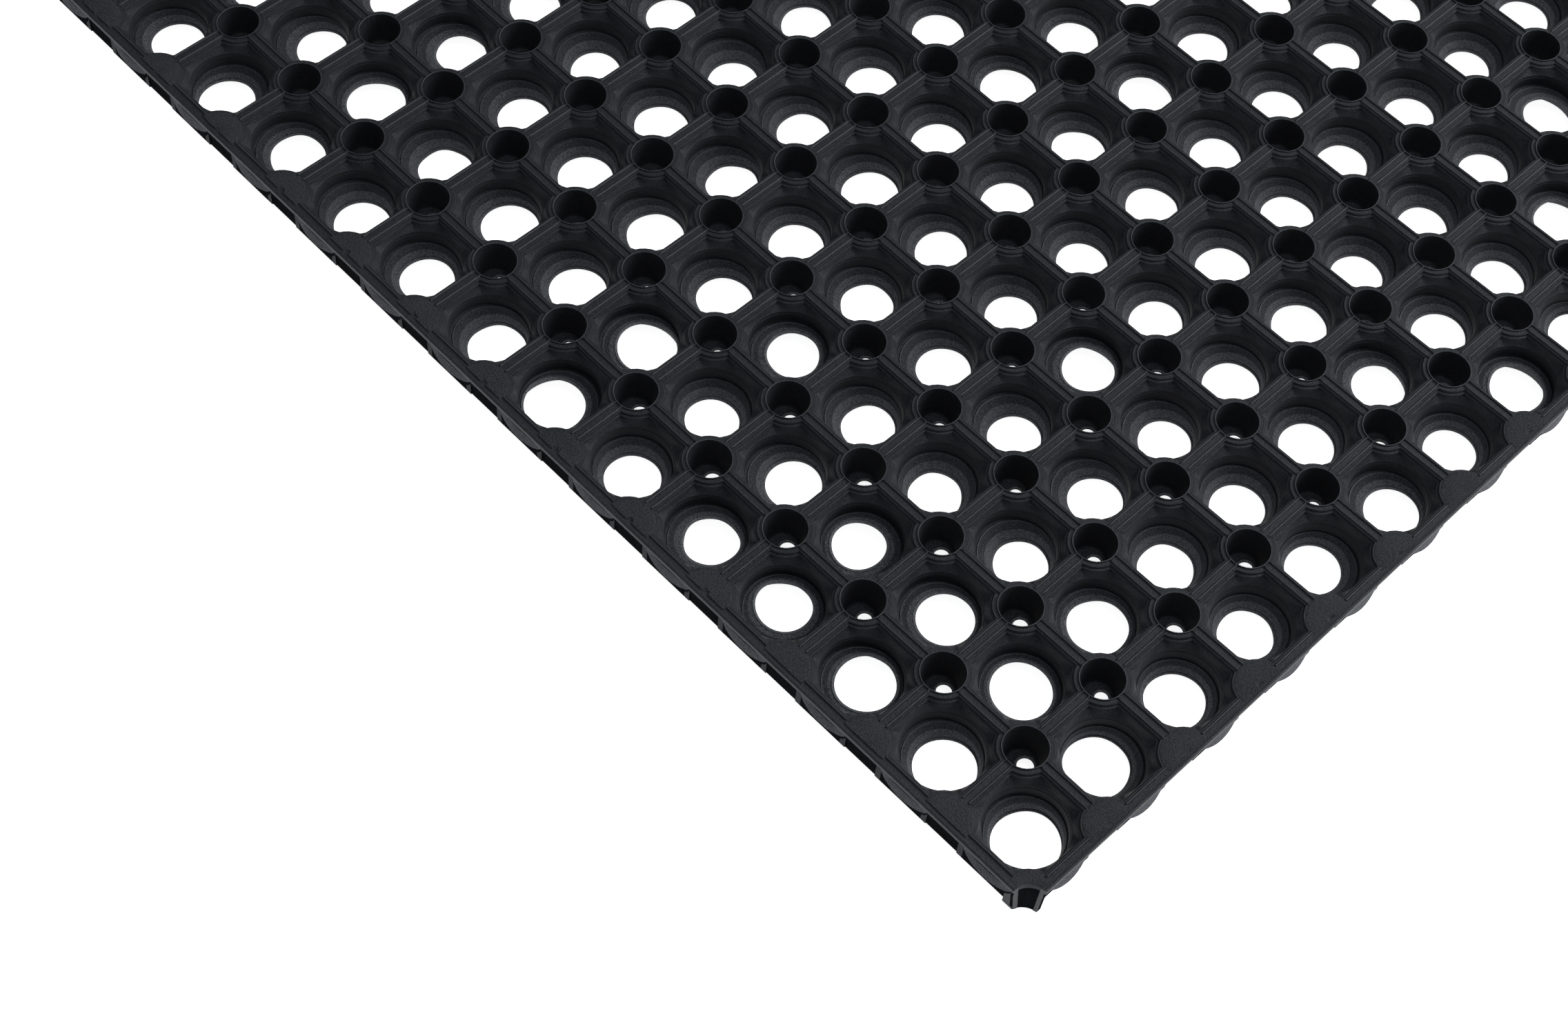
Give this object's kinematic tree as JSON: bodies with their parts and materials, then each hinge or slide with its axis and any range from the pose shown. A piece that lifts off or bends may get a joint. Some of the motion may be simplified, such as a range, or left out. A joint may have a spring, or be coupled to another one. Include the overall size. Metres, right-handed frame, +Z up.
{
  "type": "rubber hollow door mat",
  "caption": "Flat rectangular door mat moulded from black rubber: an open grid of drained ring cells with small open tubes at the crossings, a ledged outer wall and notched corners.",
  "frame": {"origin": "on the floor under the centre of the mat", "axes": "+X along the long side, +Y along the short side, +Z up out of the tread"},
  "size_m": [0.598, 0.4, 0.016],
  "materials": {
    "rubber": "matt, finely grained moulded rubber, bluish black"
  },
  "bodies": {
    "root": {"corner_back_left": "rubber", "corner_back_right": "rubber", "corner_front_left": "rubber", "corner_front_right": "rubber", "edge_pads_back": "rubber", "edge_pads_front": "rubber", "edge_pads_left": "rubber", "edge_pads_right": "rubber", "edge_wall_back": "rubber", "edge_wall_front": "rubber", "edge_wall_left": "rubber", "edge_wall_right": "rubber", "ring_row_01": "rubber", "ring_row_02": "rubber", "ring_row_03": "rubber", "ring_row_04": "rubber", "ring_row_05": "rubber", "ring_row_06": "rubber", "ring_row_07": "rubber", "ring_row_08": "rubber", "ring_row_09": "rubber", "ring_row_10": "rubber", "ring_row_11": "rubber", "ring_row_12": "rubber", "tube_row_01": "rubber", "tube_row_02": "rubber", "tube_row_03": "rubber", "tube_row_04": "rubber", "tube_row_05": "rubber", "tube_row_06": "rubber", "tube_row_07": "rubber", "tube_row_08": "rubber", "tube_row_09": "rubber", "tube_row_10": "rubber", "tube_row_11": "rubber"}
  },
  "joints": []
}
